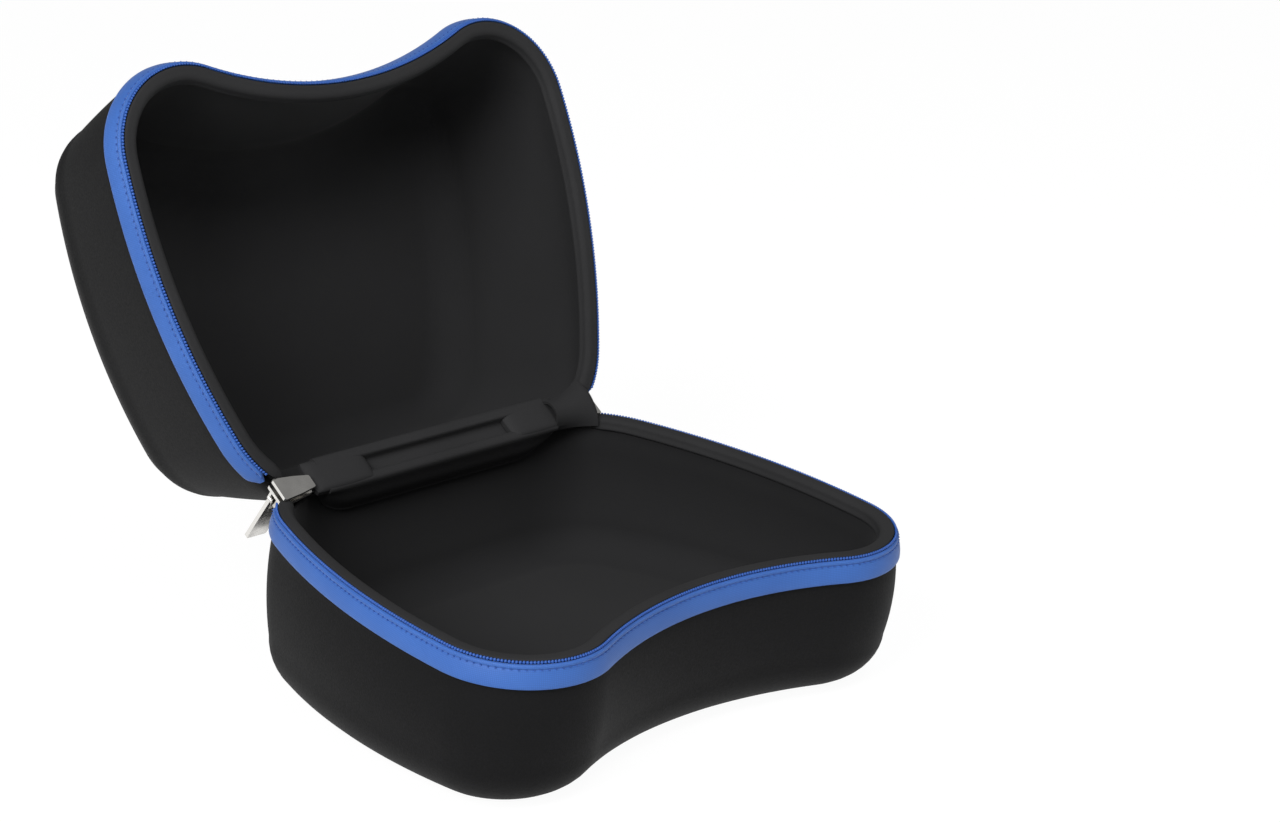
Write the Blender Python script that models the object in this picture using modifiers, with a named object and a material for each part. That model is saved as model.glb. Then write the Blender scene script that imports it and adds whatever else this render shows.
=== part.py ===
"""Hard zip case for a game controller, standing open on its cloth hinge.

Two moulded shells meet at a rim plane that rises towards the back. Each shell
carries a lining, a padded lip, a zip tape and a zip coil round its opening.
The lengths below are in millimetres. The origin is the middle of the flat
underside, with the front towards -Y and the hinge towards +Y.
"""

import math

import bmesh
import bpy
from mathutils import Matrix, Vector

MM = 0.001

# Plan outline of the rim.
CASE_WIDTH = 185.0
CASE_DEPTH = 143.0
REAR_FLAT_HALF = 45.0
REAR_CORNER_R = 35.7
GRIP_LOBE_R = 28.5
FRONT_HOLLOW_R = 132.7
SIDE_ARC_R = 232.4
ZIP_END_ANGLE = 42.5

# Base shell, measured down from the rim plane.
RIM_TILT = 5.9
BASE_HEIGHT = 57.9
BASE_BELLY = 1.2
BASE_DRAFT = 0.6
BASE_EDGE_R = 17.5
BASE_WALL = 4.5
BASE_FLOOR = 10.0

# Lid shell, measured up from the rim plane when the case is shut.
LID_HEIGHT = 69.2
LID_RISE = 0.084
LID_BELLY = 0.4
LID_DRAFT = 8.0
LID_EDGE_R = 17.6
LID_WALL = 2.4
LID_ROOF = 2.4

# Plain gamepad shapes pressed outwards into the roof of the lid.
GAMEPAD_INSET = 11.4
GAMEPAD_LIFT = 1.4
GAMEPAD_NOTCH_Y = -6.0
GAMEPAD_NOTCH_HALF = 35.8
GAMEPAD_LEG_X = 56.0
GAMEPAD_LEG_Y = -51.5
RELIEF_ROOT = 1.0
PANEL_LIFT = 0.9
PANEL_HALF = 26.0
PANEL_FRONT = 27.0
PANEL_BACK = 59.0
PANEL_CORNER_R = 4.5
KEY_LIFT = 1.0
CROSS_X = -46.8
CROSS_Y = 33.8
CROSS_REACH = 13.4
CROSS_START = 2.4
CROSS_SHOULDER = 6.5
CROSS_HALF_WIDTH = 4.6
BUTTONS_X = 44.1
BUTTONS_Y = 34.7
BUTTONS_SPREAD = 10.2
BUTTON_R = 5.1
GROOVE_DEPTH = 0.8
STICK_X = 25.1
STICK_Y = 10.0
STICK_R = 10.2
STICK_GROOVE = 1.1
CAPSULE_X = 33.4
CAPSULE_Y = 50.5
CAPSULE_WIDTH = 4.5
CAPSULE_LENGTH = 7.2
BAR_Y = 4.7
BAR_WIDTH = 8.6
BAR_LENGTH = 3.6

# Hinge line and opening.
OPEN_ANGLE = 118.5
HINGE_INSET = 6.5
HINGE_RAISE = 2.2
MITRE_GAP = 1.0
GUSSET_THICKNESS = 1.0
GUSSET_FLAP = 15.0
GUSSET_END_GAP = 1.0

# Rim: tape, coil, lip and lining.
FIT_GAP = 0.3
SHELL_EDGE_DEPTH = 4.8
SHELL_EDGE_INSET = 0.3
TAPE_WIDTH = 8.5
TAPE_FLARE = 2.2
TAPE_THICKNESS = 0.9
RIM_GAP = 0.3
COIL_WIDTH = 2.4
COIL_THICKNESS = 1.3
LIP_WIDTH = 4.2
LIP_HEIGHT = 4.3
LIP_TOP_GAP = 0.2
BASE_LINING = 1.0
LID_LINING = 0.8

# Zip slider and pull.
SLIDER_LENGTH = 13.5
SLIDER_END_WIDTH = 8.6
SLIDER_NOSE_WIDTH = 4.6
SLIDER_PLATE = 1.2
SLIDER_HEIGHT = 4.2
SLIDER_OUTWARD = 1.8
SLIDER_POST_WIDTH = 2.6
SLIDER_OUTER_X = 69.3
BRIDGE_WIDTH = 3.0
BRIDGE_WALL = 1.0
BRIDGE_FROM_END = 2.0
PIN_OFFSET = 0.5
PULL_WIDTH = 8.0
PULL_LENGTH = 19.0
PULL_THICKNESS = 1.4
PULL_EYE_WIDTH = 4.6
PULL_EYE_LENGTH = 3.6

# Padded tabs on the hinge, next to the sliders.
TAB_LENGTH = 25.0
TAB_WIDTH = 12.6
TAB_THICKNESS = 4.4
TAB_ROUND = 1.8
TAB_SLIDER_GAP = 0.5

# Points along each part of the half outline.
HOLLOW_STEPS = 7
LOBE_STEPS = 9
SIDE_STEPS = 5
CORNER_STEPS = 4
HINGE_CORNER_STEPS = 4
BACK_STEPS = 3
FILLET_STEPS = 4
LIP_STEPS = 10
BUTTON_STEPS = 16
STICK_STEPS = 24

BACK_Y = CASE_DEPTH / 2
HINGE_Y = BACK_Y - HINGE_INSET
SKIN_INSET = -(TAPE_FLARE - TAPE_THICKNESS - FIT_GAP)
HALF_OPEN = math.radians(OPEN_ANGLE) / 2
BASE_RISE = math.tan(math.radians(RIM_TILT))


def clear_scene():
    for obj in list(bpy.data.objects):
        bpy.data.objects.remove(obj, do_unlink=True)


def new_collection(name, hidden=False):
    collection = bpy.data.collections.new(name)
    bpy.context.scene.collection.children.link(collection)
    collection.hide_render = hidden
    return collection


def material(name, colour, roughness, metallic=0.0):
    mat = bpy.data.materials.new(name)
    mat.use_nodes = True
    shader = mat.node_tree.nodes["Principled BSDF"]
    shader.inputs["Base Color"].default_value = (*colour, 1.0)
    shader.inputs["Roughness"].default_value = roughness
    shader.inputs["Metallic"].default_value = metallic
    mat.diffuse_color = (*colour, 1.0)
    return mat


def arc(centre, radius, start, end, steps):
    """Points from start towards end, without the last one."""
    points = []
    for k in range(steps):
        angle = start + (end - start) * k / steps
        points.append(centre + radius * Vector((math.cos(angle), math.sin(angle))))
    return points


def heading(vector):
    return math.atan2(vector.y, vector.x)


def side_centre(corner, lobe):
    """Centre of the side arc, tangent to the rear corner and to the grip lobe from outside."""
    to_corner = SIDE_ARC_R - REAR_CORNER_R
    to_lobe = SIDE_ARC_R - GRIP_LOBE_R
    span = lobe - corner
    along = (to_corner**2 - to_lobe**2 + span.length_squared) / (2 * span.length)
    across = math.sqrt(to_corner**2 - along**2)
    unit = span.normalized()
    inward = Vector((unit.y, -unit.x))
    if inward.x > 0:
        inward = -inward
    return corner + unit * along + inward * across


def half_outline(inset):
    """Right half of the rim outline, from the front middle to the back middle."""
    lobe = Vector((CASE_WIDTH / 2 - GRIP_LOBE_R, GRIP_LOBE_R - BACK_Y))
    corner = Vector((REAR_FLAT_HALF, BACK_Y - REAR_CORNER_R))
    reach = FRONT_HOLLOW_R + GRIP_LOBE_R
    hollow = Vector((0.0, lobe.y - math.sqrt(reach**2 - lobe.x**2)))
    side = side_centre(corner, lobe)
    lobe_start = heading(hollow - lobe)
    lobe_end = heading(lobe - side)
    corner_start = heading(corner - side)
    zip_end = math.radians(ZIP_END_ANGLE)
    points = arc(hollow, FRONT_HOLLOW_R + inset, math.pi / 2, heading(lobe - hollow), HOLLOW_STEPS)
    points += arc(lobe, GRIP_LOBE_R - inset, lobe_start, lobe_end, LOBE_STEPS)
    points += arc(side, SIDE_ARC_R - inset, lobe_end, corner_start, SIDE_STEPS)
    points += arc(corner, REAR_CORNER_R - inset, corner_start, zip_end, CORNER_STEPS)
    points += arc(corner, REAR_CORNER_R - inset, zip_end, math.pi / 2, HINGE_CORNER_STEPS)
    for k in range(BACK_STEPS + 1):
        points.append(Vector((REAR_FLAT_HALF * (1 - k / BACK_STEPS), BACK_Y - inset)))
    return points


def mirrored(points):
    return [Vector((-p.x, p.y)) for p in reversed(points)]


def full_outline(inset):
    half = half_outline(inset)
    return half + mirrored(half[1:-1])


def zip_path(inset):
    """The outline from the left zip end, round the front, to the right zip end."""
    last = HOLLOW_STEPS + LOBE_STEPS + SIDE_STEPS + CORNER_STEPS
    half = half_outline(inset)[: last + 1]
    return mirrored(half[1:]) + half


def loft(name, rings, mat, collection):
    """Closed body through rings with the same number of points, capped at both ends."""
    mesh = bmesh.new()
    rows = [[mesh.verts.new(Vector(p) * MM) for p in ring] for ring in rings]
    for low, high in zip(rows, rows[1:]):
        if abs(low[0].co.z) < abs(high[0].co.z):
            low, high = high, low
        for i in range(len(low)):
            j = (i + 1) % len(low)
            mesh.faces.new((low[i], low[j], high[j]))
            mesh.faces.new((low[i], high[j], high[i]))
    mesh.faces.new(rows[0])
    mesh.faces.new(rows[-1])
    bmesh.ops.recalc_face_normals(mesh, faces=mesh.faces)
    data = bpy.data.meshes.new(name)
    mesh.to_mesh(data)
    mesh.free()
    data.materials.append(mat)
    data.shade_smooth()
    data.set_sharp_from_angle(angle=math.radians(40))
    obj = bpy.data.objects.new(name, data)
    collection.objects.link(obj)
    return obj


class Half:
    """One moulded half: side is -1 for the base and +1 for the lid."""

    def __init__(self, side, height, rise, belly, draft, edge_r, wall, floor, lining):
        self.side = side
        self.height = height
        self.rise = rise
        self.belly = belly
        self.draft = draft
        self.edge_r = edge_r
        self.wall = wall
        self.floor = floor
        self.lining = lining

    def mitre(self, y):
        """How much lower the edge lies at the hinge, so that the open halves meet at a mitre."""
        edge = math.tan(HALF_OPEN) * (y - HINGE_Y) + self.side * HINGE_RAISE + MITRE_GAP
        return max(0.0, edge - SHELL_EDGE_DEPTH)

    def edge_ring(self, inset, depth):
        ring = []
        for p in full_outline(inset):
            ring.append((p.x, p.y, self.side * (depth + self.mitre(p.y))))
        return ring

    def wall_ring(self, inset, depth):
        ring = []
        for p in full_outline(inset):
            ring.append((p.x, p.y, self.side * depth * (1 + self.rise * p.y / self.height)))
        return ring

    def surface(self, offset, floor):
        """Rings of one face of the wall, from the middle of the bottom up to the edge."""
        bottom = self.height - floor
        radius = self.edge_r - offset
        rings = []
        for k in range(FILLET_STEPS + 1):
            angle = math.pi / 2 * (1 - k / FILLET_STEPS)
            inset = SKIN_INSET + self.draft + offset + radius * (1 - math.cos(angle))
            rings.append(self.wall_ring(inset, bottom - radius + radius * math.sin(angle)))
        middle = SKIN_INSET + self.draft / 2 - self.belly + offset
        rings.append(self.wall_ring(middle, self.height / 2))
        return rings

    def shell(self, name, mat, collection):
        rings = self.surface(0.0, 0.0)
        rings.append(self.edge_ring(SKIN_INSET, TAPE_WIDTH))
        rings.append(self.edge_ring(SKIN_INSET + FIT_GAP, SHELL_EDGE_DEPTH + 1.6))
        rings.append(self.edge_ring(SHELL_EDGE_INSET, SHELL_EDGE_DEPTH))
        rings.append(self.edge_ring(SKIN_INSET + self.wall, SHELL_EDGE_DEPTH))
        rings += reversed(self.surface(self.wall, self.floor))
        return loft(name, rings, mat, collection)

    def slab(self, name, low, high, mat, collection):
        """Slab that follows the roof and its rounded edge, between two heights over them."""
        outer = self.surface(0.0, 0.0)[:FILLET_STEPS]
        rings = [[(x, y, z + self.side * low) for x, y, z in ring] for ring in outer]
        rings += [[(x, y, z + self.side * high) for x, y, z in ring] for ring in reversed(outer)]
        return loft(name, rings, mat, collection)

    def lining_skin(self, name, mat, collection):
        outer = self.wall + FIT_GAP
        inner = outer + self.lining
        rings = self.surface(outer, self.floor + FIT_GAP)
        rings.append(self.edge_ring(SKIN_INSET + outer, SHELL_EDGE_DEPTH))
        rings.append(self.edge_ring(SKIN_INSET + inner, SHELL_EDGE_DEPTH))
        rings += reversed(self.surface(inner, self.floor + FIT_GAP + self.lining))
        return loft(name, rings, mat, collection)

    def strip(self, name, section, mat, collection):
        """Closed strip along the zip, with a section of (inset, depth) points."""
        columns = [zip_path(inset) for inset, depth in section]
        rings = []
        for i in range(len(columns[0])):
            ring = []
            for column, (inset, depth) in zip(columns, section):
                ring.append((column[i].x, column[i].y, self.side * depth))
            rings.append(ring)
        return loft(name, rings, mat, collection)


def tape_section():
    """The tape is thin behind the coil and then swells outwards to its stitched edge."""
    shelf = RIM_GAP + COIL_WIDTH + FIT_GAP
    back = COIL_THICKNESS - TAPE_THICKNESS + FIT_GAP
    swell = (TAPE_WIDTH - shelf) / 3
    return [
        (back + 0.3, RIM_GAP + 0.1),
        (back, shelf),
        (back - 1.4, shelf),
        (-TAPE_FLARE + 0.6, shelf + swell),
        (-TAPE_FLARE + 0.1, shelf + 2 * swell),
        (-TAPE_FLARE, TAPE_WIDTH),
        (-TAPE_FLARE + TAPE_THICKNESS, TAPE_WIDTH),
        (-TAPE_FLARE + TAPE_THICKNESS + 0.1, shelf + 2 * swell),
        (-TAPE_FLARE + TAPE_THICKNESS + 0.7, shelf + swell),
        (back + TAPE_THICKNESS - 0.2, shelf + 0.2),
        (back + TAPE_THICKNESS + 0.3, RIM_GAP + 0.1),
    ]


def coil_section():
    back = COIL_THICKNESS - TAPE_THICKNESS
    return [
        (back + 0.2, RIM_GAP),
        (back - 0.5, RIM_GAP),
        (back - COIL_THICKNESS + 0.2, RIM_GAP + COIL_WIDTH * 0.2),
        (back - COIL_THICKNESS, RIM_GAP + COIL_WIDTH * 0.6),
        (back - COIL_THICKNESS + 0.1, RIM_GAP + COIL_WIDTH),
        (back, RIM_GAP + COIL_WIDTH),
    ]


def lip_section():
    """Rounded piping between the tape and the lining."""
    outer = COIL_THICKNESS + FIT_GAP + 0.7
    middle = outer + LIP_WIDTH / 2
    centre = LIP_TOP_GAP + LIP_HEIGHT / 2
    section = []
    for k in range(LIP_STEPS):
        angle = 2 * math.pi * (k + 0.5) / LIP_STEPS
        section.append((middle + LIP_WIDTH / 2 * math.cos(angle), centre + LIP_HEIGHT / 2 * math.sin(angle)))
    return section


def flat_piece(name, loops, thickness, turn):
    """Plate from closed outlines, extruded both ways and turned into place, as a mesh object."""
    curve = bpy.data.curves.new(name + "_outline", "CURVE")
    curve.dimensions = "2D"
    curve.fill_mode = "BOTH"
    curve.extrude = thickness * MM / 2
    for loop in loops:
        spline = curve.splines.new("POLY")
        spline.points.add(len(loop) - 1)
        for point, (x, y) in zip(spline.points, loop):
            point.co = (x * MM, y * MM, 0.0, 1.0)
        spline.use_cyclic_u = True
    source = bpy.data.objects.new(name + "_outline", curve)
    bpy.context.scene.collection.objects.link(source)
    bpy.context.view_layer.update()
    data = bpy.data.meshes.new_from_object(source.evaluated_get(bpy.context.evaluated_depsgraph_get()))
    bpy.data.objects.remove(source, do_unlink=True)
    mesh = bmesh.new()
    mesh.from_mesh(data)
    bmesh.ops.remove_doubles(mesh, verts=mesh.verts, dist=0.00001)
    bmesh.ops.recalc_face_normals(mesh, faces=mesh.faces)
    mesh.to_mesh(data)
    mesh.free()
    data.name = name
    data.transform(turn)
    return bpy.data.objects.new(name, data)


def rounded_loop(points, radius, steps=3):
    """Closed outline with its corners rounded."""
    loop = []
    count = len(points)
    for i in range(count):
        before = Vector(points[i - 1])
        here = Vector(points[i])
        after = Vector(points[(i + 1) % count])
        to_before = (before - here).normalized()
        to_after = (after - here).normalized()
        for k in range(steps + 1):
            t = k / steps
            start = here + to_before * radius
            end = here + to_after * radius
            loop.append(tuple(start * (1 - t) ** 2 + here * 2 * t * (1 - t) + end * t**2))
    return loop


def combine(obj, tool, operation, collection):
    """Boolean of an object with a tool, which is kept hidden in its own collection."""
    if tool.name not in collection.objects:
        collection.objects.link(tool)
    tool.hide_render = True
    tool.display_type = "WIRE"
    modifier = obj.modifiers.new(operation.lower() + "_" + tool.name, "BOOLEAN")
    modifier.operation = operation
    modifier.solver = "EXACT"
    modifier.object = tool


def join_with(obj, tools, collection):
    for tool in tools:
        combine(obj, tool, "UNION", collection)


def empty(name, parent, location, angle, collection):
    obj = bpy.data.objects.new(name, None)
    obj.empty_display_size = 0.01
    obj.parent = parent
    obj.location = Vector(location) * MM
    obj.rotation_euler = (angle, 0.0, 0.0)
    collection.objects.link(obj)
    return obj


def move_mesh(obj, offset):
    obj.data.transform(Matrix.Translation(Vector(offset) * MM))


def circle(x, y, radius, steps):
    points = []
    for k in range(steps):
        angle = 2 * math.pi * (k + 0.5) / steps
        points.append((x + radius * math.cos(angle), y + radius * math.sin(angle)))
    return points


def box_loop(x, y, width, length, radius):
    corners = [(x - width / 2, y - length / 2), (x + width / 2, y - length / 2)]
    corners += [(x + width / 2, y + length / 2), (x - width / 2, y + length / 2)]
    return rounded_loop(corners, radius, 3)


def gamepad_outline():
    """The case outline drawn in, with a notch between the two grips."""
    right = [Vector((0.0, GAMEPAD_NOTCH_Y)), Vector((GAMEPAD_NOTCH_HALF - 3.0, GAMEPAD_NOTCH_Y))]
    right.append(Vector((GAMEPAD_NOTCH_HALF + 2.0, GAMEPAD_NOTCH_Y - 3.5)))
    right.append(Vector((GAMEPAD_LEG_X - 1.5, GAMEPAD_LEG_Y + 6.0)))
    right.append(Vector((GAMEPAD_LEG_X + 2.5, GAMEPAD_LEG_Y - 1.5)))
    outer = half_outline(GAMEPAD_INSET)
    for before, after in zip(outer, outer[1:]):
        p = (before + after) / 2
        behind_leg = p.x > GAMEPAD_LEG_X + 9.0 or p.y > GAMEPAD_LEG_Y + 6.0
        if behind_leg and (p.x > GAMEPAD_LEG_X + 4.0 or p.y > 0.0):
            right.append(p)
    return [tuple(p) for p in right + mirrored(right[1:])]


def key_loops():
    """Outlines of the direction cross's four petals and of the four round buttons."""
    wide = CROSS_HALF_WIDTH
    petal = [(CROSS_START, 0.0), (CROSS_SHOULDER, -wide), (CROSS_REACH, -wide)]
    petal = rounded_loop(petal + [(CROSS_REACH, wide), (CROSS_SHOULDER, wide)], 1.0, 2)
    loops = []
    for k in range(4):
        c = math.cos(math.pi / 2 * k)
        s = math.sin(math.pi / 2 * k)
        loops.append([(CROSS_X + x * c - y * s, CROSS_Y + x * s + y * c) for x, y in petal])
        middle = (BUTTONS_X + BUTTONS_SPREAD * c, BUTTONS_Y + BUTTONS_SPREAD * s)
        loops.append(circle(*middle, BUTTON_R, BUTTON_STEPS))
    return loops


def groove_loops():
    """Outlines of the stick rings, the two capsules and the bar, all sunk into the relief."""
    loops = [box_loop(0.0, BAR_Y, BAR_WIDTH, BAR_LENGTH, 1.1)]
    for side in (-1, 1):
        loops.append(circle(side * STICK_X, STICK_Y, STICK_R + STICK_GROOVE / 2, STICK_STEPS))
        loops.append(circle(side * STICK_X, STICK_Y, STICK_R - STICK_GROOVE / 2, STICK_STEPS))
        loops.append(box_loop(side * CAPSULE_X, CAPSULE_Y, CAPSULE_WIDTH, CAPSULE_LENGTH, 2.0))
    return loops


def add_relief(lid, shell, collection):
    """Raises and sinks the gamepad shapes on the lid's shell, and returns the hidden tools."""
    top = GAMEPAD_LIFT + PANEL_LIFT
    key_top = GAMEPAD_LIFT + KEY_LIFT
    panel_y = (PANEL_FRONT + PANEL_BACK) / 2
    panel = box_loop(0.0, panel_y, 2 * PANEL_HALF, PANEL_BACK - PANEL_FRONT, PANEL_CORNER_R)
    layers = (
        ("gamepad_body", [gamepad_outline()], -RELIEF_ROOT, GAMEPAD_LIFT, "UNION"),
        ("gamepad_panel", [panel], -RELIEF_ROOT, top, "UNION"),
        ("gamepad_keys", key_loops(), -RELIEF_ROOT, key_top, "UNION"),
        ("gamepad_grooves", groove_loops(), GAMEPAD_LIFT - GROOVE_DEPTH, 2 * key_top, "DIFFERENCE"),
    )
    used = []
    reach = LID_EDGE_R + 2 * key_top + 2 * RELIEF_ROOT
    centre = Matrix.Translation((0.0, 0.0, LID_HEIGHT * MM))
    for name, loops, low, high, operation in layers:
        slab = lid.slab(name, low, high, shell.data.materials[0], collection)
        outline = flat_piece(name + "_outline_prism", loops, 2 * reach, centre)
        combine(slab, outline, "INTERSECT", collection)
        combine(shell, slab, operation, collection)
        used += [slab, outline]
    return used


def gusset(mat, collection):
    """Cloth strip inside the hinge: a flap on each rear wall, meeting at a ridge."""
    base_face = BACK_Y - (SKIN_INSET + BASE_WALL + FIT_GAP + BASE_LINING + FIT_GAP) - HINGE_Y
    lid_face = BACK_Y - (SKIN_INSET + LID_WALL + FIT_GAP + LID_LINING + FIT_GAP) - HINGE_Y
    cos_open = math.cos(math.radians(OPEN_ANGLE))
    sin_open = math.sin(math.radians(OPEN_ANGLE))

    def on_lid(y, z):
        return (y * cos_open + z * sin_open, -y * sin_open + z * cos_open)

    def ridge(base_y, lid_y):
        return on_lid(lid_y, (base_y - lid_y * cos_open) / sin_open)

    inner_base = base_face - GUSSET_THICKNESS
    inner_lid = lid_face - GUSSET_THICKNESS
    wall_lean = (LID_DRAFT / 2 - LID_BELLY) / (LID_HEIGHT / 2 - TAPE_WIDTH)
    lean = wall_lean * (GUSSET_FLAP + HINGE_RAISE - TAPE_WIDTH)
    section = [
        (base_face, -GUSSET_FLAP),
        ridge(base_face, lid_face),
        on_lid(lid_face - lean, GUSSET_FLAP),
        on_lid(inner_lid - lean, GUSSET_FLAP),
        ridge(inner_base, inner_lid),
        (inner_base, -GUSSET_FLAP),
    ]
    half = REAR_FLAT_HALF - GUSSET_END_GAP
    rings = []
    for x in (-half, half):
        rings.append([(x, HINGE_Y + y, HINGE_RAISE + z) for y, z in section])
    body = loft("hinge_gusset", rings, mat, collection)
    top = ridge(inner_base, inner_lid)
    return body, top


def slider(side, name, mat, collection, tools):
    """Slider with two plates, a post between them and a bridge for the pull."""
    inner = SLIDER_OUTWARD - SLIDER_HEIGHT
    end = SLIDER_OUTER_X
    nose = end - SLIDER_LENGTH
    wide = SLIDER_END_WIDTH / 2
    slim = SLIDER_NOSE_WIDTH / 2
    shoulder = nose + SLIDER_LENGTH * 0.45
    shield = [(end, -wide), (end, wide), (shoulder, wide * 0.8), (nose, slim), (nose, -slim)]
    shield.append((shoulder, -wide * 0.8))
    shield = rounded_loop([(side * x, z - HINGE_RAISE) for x, z in shield], 0.6, 2)
    flat = Matrix.Rotation(math.pi / 2, 4, "X")
    body = flat_piece(name, [shield], SLIDER_PLATE, flat)
    move_mesh(body, (0.0, inner + SLIDER_PLATE / 2, 0.0))
    outer = flat_piece(name + "_outer_plate", [shield], SLIDER_PLATE, flat)
    move_mesh(outer, (0.0, SLIDER_OUTWARD - SLIDER_PLATE / 2, 0.0))
    post_half = SLIDER_POST_WIDTH / 2
    post = [(nose + 0.4, -slim + 0.4), (shoulder, -post_half), (shoulder + 2.0, 0.0), (shoulder, post_half)]
    post.append((nose + 0.4, slim - 0.4))
    post = [(side * x, z - HINGE_RAISE) for x, z in post]
    core = flat_piece(name + "_post", [post], SLIDER_HEIGHT - SLIDER_PLATE, flat)
    move_mesh(core, (0.0, SLIDER_OUTWARD - SLIDER_HEIGHT / 2, 0.0))
    pin = pin_place(side)
    hole = PULL_THICKNESS / math.sqrt(2) + FIT_GAP
    rim = hole + BRIDGE_WALL
    root = pin[1] - hole - 0.6
    frame = rounded_loop([(root, -rim), (pin[1] + rim, -rim), (pin[1] + rim, rim), (root, rim)], 0.5, 2)
    start = root + 0.4
    gap = [(start, -hole), (pin[1] + hole, -hole), (pin[1] + hole, hole), (start, hole)]
    across = Matrix(((0, 0, 1, 0), (1, 0, 0, 0), (0, 1, 0, 0), (0, 0, 0, 1)))
    bridge = flat_piece(name + "_bridge", [frame, gap], BRIDGE_WIDTH, across)
    move_mesh(bridge, (pin[0], 0.0, pin[2]))
    body.data.materials.append(mat)
    collection.objects.link(body)
    join_with(body, [core, outer, bridge], tools)
    return body


def pin_place(side):
    """Pull axis, measured from the hinge axis with the case shut."""
    hole = PULL_THICKNESS / math.sqrt(2) + FIT_GAP
    x = side * (SLIDER_OUTER_X - BRIDGE_FROM_END)
    return (x, SLIDER_OUTWARD + hole, PIN_OFFSET - HINGE_RAISE)


def pull(name, mat, collection):
    """Flat pull whose top bar runs under the bridge."""
    half = PULL_WIDTH / 2
    top = -PULL_THICKNESS / 2
    plate = [(-half + 0.8, top), (half - 0.8, top), (half, PULL_LENGTH), (-half, PULL_LENGTH)]
    plate = rounded_loop(plate, 0.7, 3)
    eye_half = PULL_EYE_WIDTH / 2
    eye_start = PULL_THICKNESS / 2
    eye_end = eye_start + PULL_EYE_LENGTH
    slim = eye_half - 0.4
    eye = [(-eye_half, eye_start), (eye_half, eye_start), (slim, eye_end), (-slim, eye_end)]
    loops = [plate, rounded_loop(eye, 0.3, 1)]
    body = flat_piece(name, loops, PULL_THICKNESS, Matrix.Identity(4))
    body.data.materials.append(mat)
    collection.objects.link(body)
    return body


def tab(side, name, ridge_top, mat, collection):
    """Padded tab lying over the ridge of the hinge strip, square to its middle plane."""
    outer = SLIDER_OUTER_X - SLIDER_LENGTH - TAB_SLIDER_GAP
    mesh = bmesh.new()
    bmesh.ops.create_cube(mesh, size=1.0)
    size = Matrix.Diagonal((TAB_LENGTH * MM, TAB_THICKNESS * MM, TAB_WIDTH * MM, 1.0))
    bmesh.ops.transform(mesh, matrix=size, verts=mesh.verts)
    data = bpy.data.meshes.new(name)
    mesh.to_mesh(data)
    mesh.free()
    data.materials.append(mat)
    obj = bpy.data.objects.new(name, data)
    collection.objects.link(obj)
    ridge_out = ridge_top[0] * math.cos(HALF_OPEN) - ridge_top[1] * math.sin(HALF_OPEN)
    place = (side * (outer - TAB_LENGTH / 2), ridge_out - FIT_GAP - TAB_THICKNESS / 2, 0.0)
    move_mesh(obj, place)
    bevel = obj.modifiers.new("soft_edges", "BEVEL")
    bevel.width = TAB_ROUND * MM
    bevel.segments = 2
    return obj


def main():
    clear_scene()
    case = new_collection("controller_carrying_case")
    tools = new_collection("joining_tools", hidden=True)
    shell_cloth = material("shell_cloth", (0.022, 0.022, 0.024), 0.75)
    lining_cloth = material("lining_cloth", (0.012, 0.012, 0.013), 0.9)
    piping = material("padded_piping", (0.016, 0.016, 0.017), 0.7)
    tape_cloth = material("zip_tape", (0.05, 0.17, 0.6), 0.7)
    coil_nylon = material("zip_coil", (0.06, 0.2, 0.66), 0.5)
    nickel = material("nickel", (0.72, 0.7, 0.66), 0.3, 1.0)

    tilt = math.radians(RIM_TILT)
    rim_place = (0.0, -BASE_HEIGHT * math.sin(tilt), BASE_HEIGHT * math.cos(tilt))
    rim = empty("rim_frame", None, rim_place, tilt, case)
    axis = (0.0, HINGE_Y, HINGE_RAISE)
    lid_hinge = empty("lid_hinge", rim, axis, -math.radians(OPEN_ANGLE), case)
    half_hinge = empty("slider_axis", rim, axis, -HALF_OPEN, case)

    base_form = (BASE_HEIGHT, BASE_RISE, BASE_BELLY, BASE_DRAFT, BASE_EDGE_R)
    lid_form = (LID_HEIGHT, LID_RISE, LID_BELLY, LID_DRAFT, LID_EDGE_R)
    base = Half(-1, *base_form, BASE_WALL, BASE_FLOOR, BASE_LINING)
    lid = Half(1, *lid_form, LID_WALL, LID_ROOF, LID_LINING)
    for prefix, half, parent in (("base", base, rim), ("lid", lid, lid_hinge)):
        pieces = [
            half.shell(prefix + "_shell", shell_cloth, case),
            half.lining_skin(prefix + "_lining", lining_cloth, case),
            half.strip(prefix + "_rim_lip", lip_section(), piping, case),
            half.strip(prefix + "_zip_tape", tape_section(), tape_cloth, case),
            half.strip(prefix + "_zip_coil", coil_section(), coil_nylon, case),
        ]
        if half is lid:
            pieces += add_relief(lid, pieces[0], tools)
        for piece in pieces:
            piece.parent = parent
            if parent is lid_hinge:
                move_mesh(piece, (0.0, -HINGE_Y, -HINGE_RAISE))

    strip, ridge_top = gusset(shell_cloth, case)
    strip.parent = rim
    for side, word in ((-1, "left"), (1, "right")):
        body = slider(side, word + "_slider", nickel, case, tools)
        body.parent = half_hinge
        for tool in tools.objects:
            if tool.name.startswith(word):
                tool.parent = half_hinge
        pin = empty(word + "_pull_pin", half_hinge, pin_place(side), 0.0, case)
        pull(word + "_pull", nickel, case).parent = pin
        tab(side, word + "_zip_end_tab", ridge_top, piping, case).parent = half_hinge
    bpy.context.view_layer.update()


main()
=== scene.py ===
"""Dressed model of a hard zip case for a game controller, standing open.

The case is two moulded foam shells covered in black cloth. Each carries a soft
lining, a padded lip and a blue zip band round its opening, and a cloth hinge
joins them at the back. Sizes in the classes are millimetres unless a name says
otherwise, and they are measured in the frame of the rim, which rises towards
the hinge.
"""

from __future__ import annotations

import logging
import math
from collections.abc import Callable, Iterable, Sequence
from dataclasses import dataclass
from enum import Enum

import bmesh
import bpy
import numpy as np
from mathutils import Matrix, Vector

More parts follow.
